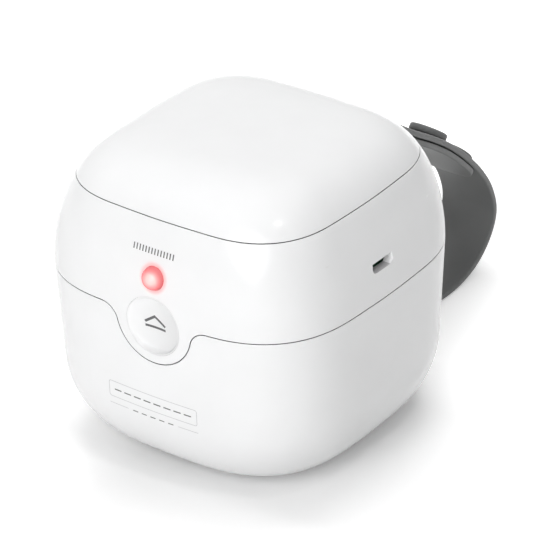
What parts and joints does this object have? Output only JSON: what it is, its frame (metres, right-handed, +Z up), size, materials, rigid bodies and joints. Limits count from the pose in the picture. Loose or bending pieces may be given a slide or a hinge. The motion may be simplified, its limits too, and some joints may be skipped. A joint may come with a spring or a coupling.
{
  "type": "ultraviolet sterilizer box",
  "caption": "Rounded cube box with a hinged lid, a mirrored chamber, a lamp in the lid, a press-to-open latch and a buttoned silicone carrying strap.",
  "frame": {"origin": "centre of the foot pad's underside, on the surface that the box stands on", "axes": "+Z up, -Y the front with the two buttons, +Y the back with the hinge and the strap, +X the side with the connector"},
  "size_m": [0.075, 0.1269, 0.0724],
  "materials": {
    "white_shell": "glossy white ABS",
    "inner_white": "satin white ABS",
    "mirror_liner": "vacuum-metallised mirror finish",
    "grey_silicone": "matt grey silicone",
    "pale_silicone": "matt pale grey silicone",
    "steel": "bright steel",
    "black_plastic": "black engineering plastic",
    "red_glow": "translucent red, lit from behind",
    "quartz": "clear quartz",
    "green_board": "green solder mask",
    "lamp_board": "white solder mask on aluminium",
    "led_chip": "ceramic with a clear lens",
    "cell_pouch": "satin aluminium pouch",
    "lead_sheath": "red sleeve"
  },
  "bodies": {
    "base": {"base_shell": "white_shell", "chamber_cup": "mirror_liner", "latch_catch": "steel", "foot_pad": "pale_silicone", "sensor_magnet": "steel", "hinge_pin": "steel", "strap_band": "grey_silicone", "strap_tongue": "grey_silicone", "base_screw_1": "steel", "base_screw_2": "steel", "base_screw_3": "steel", "base_screw_4": "steel"},
    "lid": {"lid_shell": "white_shell", "top_cover": "white_shell", "lamp_plate": "inner_white", "battery_tray": "inner_white", "latch_cover": "inner_white", "lid_gasket": "pale_silicone", "latch_pin": "steel", "latch_spring": "steel", "usb_port": "steel", "lid_screw_1": "steel", "lid_screw_2": "steel", "lid_screw_3": "steel", "lid_screw_4": "steel", "board_screw_1": "steel", "board_screw_2": "steel", "tact_switch": "black_plastic", "lid_sensor": "black_plastic", "lamp_spacer": "black_plastic", "status_led": "red_glow", "quartz_window": "quartz", "main_board": "green_board", "button_board": "green_board", "uvc_lamp_board": "lamp_board", "uvc_led_1": "led_chip", "uvc_led_2": "led_chip", "uvc_led_3": "led_chip", "uvc_led_4": "led_chip", "battery": "cell_pouch", "lamp_lead": "lead_sheath", "battery_lead": "lead_sheath", "button_lead": "lead_sheath"},
    "open_button": {"open_button": "white_shell"},
    "latch": {"latch_lever": "black_plastic"},
    "power_button": {"power_button": "red_glow"}
  },
  "joints": [
    {"name": "lid_hinge", "type": "hinge", "parent": "base", "child": "lid", "pos_m": [0, 0.03785, 0.0426], "axis": [-1, 0, 0], "range_deg": [0, 95], "deforming": ["strap_band", "strap_tongue"]},
    {"name": "open_button_press", "type": "slide", "parent": "lid", "child": "open_button", "axis": [0, 1, 0], "range_m": [0, 0.0007], "stiffness_N_per_m": 300},
    {"name": "latch_swing", "type": "hinge", "parent": "lid", "child": "latch", "pos_m": [0, -0.0326, 0.0459], "axis": [1, 0, 0], "range_deg": [0, 8], "deforming": ["latch_spring"]},
    {"name": "power_button_press", "type": "slide", "parent": "lid", "child": "power_button", "axis": [0, 1, 0], "range_m": [0, 0.0004], "stiffness_N_per_m": 400}
  ],
  "couplings": [
    {"joint": "latch_swing", "follows": "open_button_press", "rad_per_m": 188.68}
  ]
}
